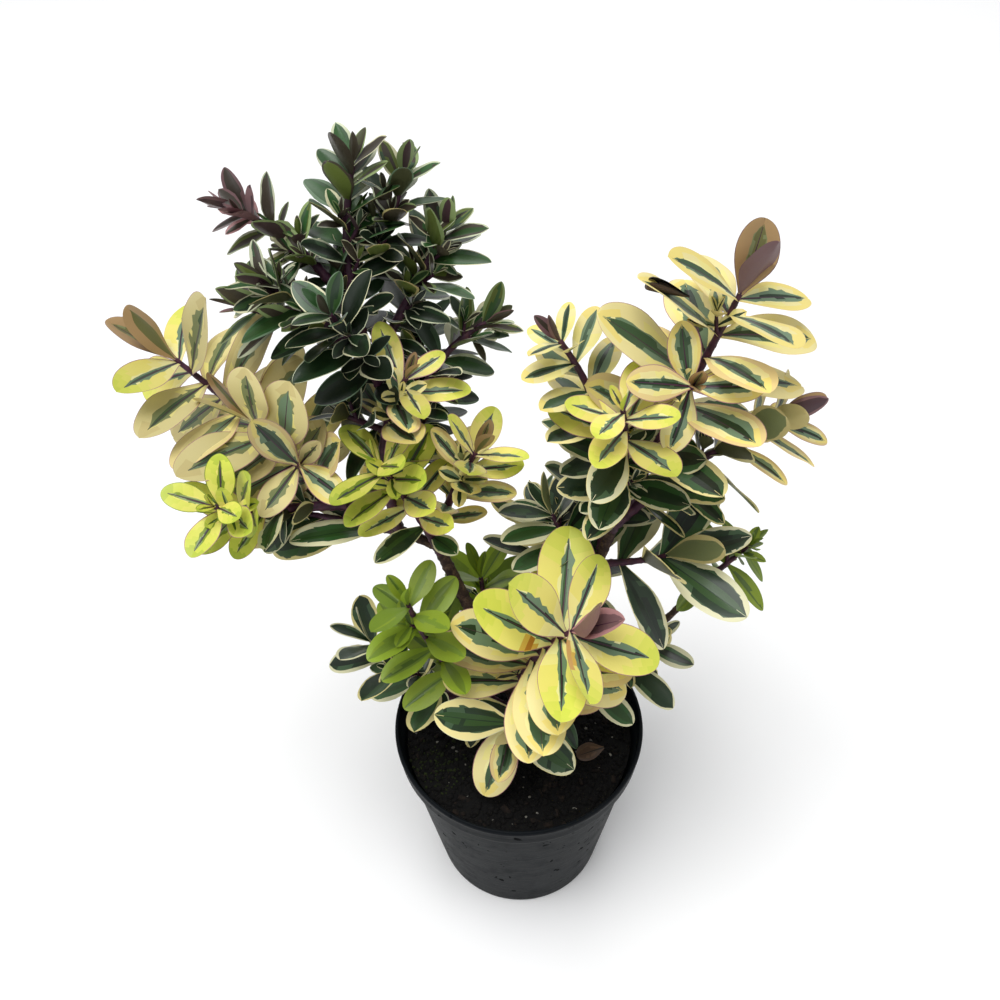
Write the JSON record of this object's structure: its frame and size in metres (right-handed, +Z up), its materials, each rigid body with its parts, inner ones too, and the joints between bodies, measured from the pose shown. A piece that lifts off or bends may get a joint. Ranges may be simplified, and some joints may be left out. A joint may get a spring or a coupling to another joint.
{
  "type": "potted hebe shrub",
  "caption": "Young evergreen shrub with upright dark boughs and paired blunt oval leaves edged in cream, growing in a round tapering nursery pot that stands on its flat base.",
  "frame": {"origin": "middle of the pot's flat underside", "axes": "+Z up along the pot's axis, -Y towards the front that the lowest rosette faces, +X to the right seen from the front"},
  "size_m": [0.3077, 0.1579, 0.3929],
  "materials": {
    "pot": "smooth moulded plastic, slightly satin",
    "compost": "moist dark compost with grit and bark flakes",
    "bark": "young purplish-brown bark",
    "leaf": "leathery leaves, dark green with cream to yellow edges"
  },
  "bodies": {
    "root": {"pot": "pot", "compost": "compost", "stock": "bark", "bough_front": "bark", "bough_leader": "bark", "bough_left": "bark", "bough_outer": "bark", "bough_right": "bark", "bough_side": "bark", "foliage_back_inner": "leaf", "foliage_back_left": "leaf", "foliage_back_low": "leaf", "foliage_back_right": "leaf", "foliage_back_upper": "leaf", "foliage_base_left": "leaf", "foliage_base_right": "leaf", "foliage_front": "leaf", "foliage_front_left": "leaf", "foliage_front_low": "leaf", "foliage_leader": "leaf", "foliage_leader_core": "leaf", "foliage_leader_front": "leaf", "foliage_leader_left": "leaf", "foliage_leader_low": "leaf", "foliage_leader_right": "leaf", "foliage_left_front": "leaf", "foliage_left_inner": "leaf", "foliage_left_low": "leaf", "foliage_left_tip": "leaf", "foliage_left_under": "leaf", "foliage_left_upper": "leaf", "foliage_low_back": "leaf", "foliage_outer": "leaf", "foliage_right_back": "leaf", "foliage_right_front": "leaf", "foliage_right_inner": "leaf", "foliage_right_low": "leaf", "foliage_right_outer": "leaf", "foliage_right_tip": "leaf"}
  },
  "joints": []
}
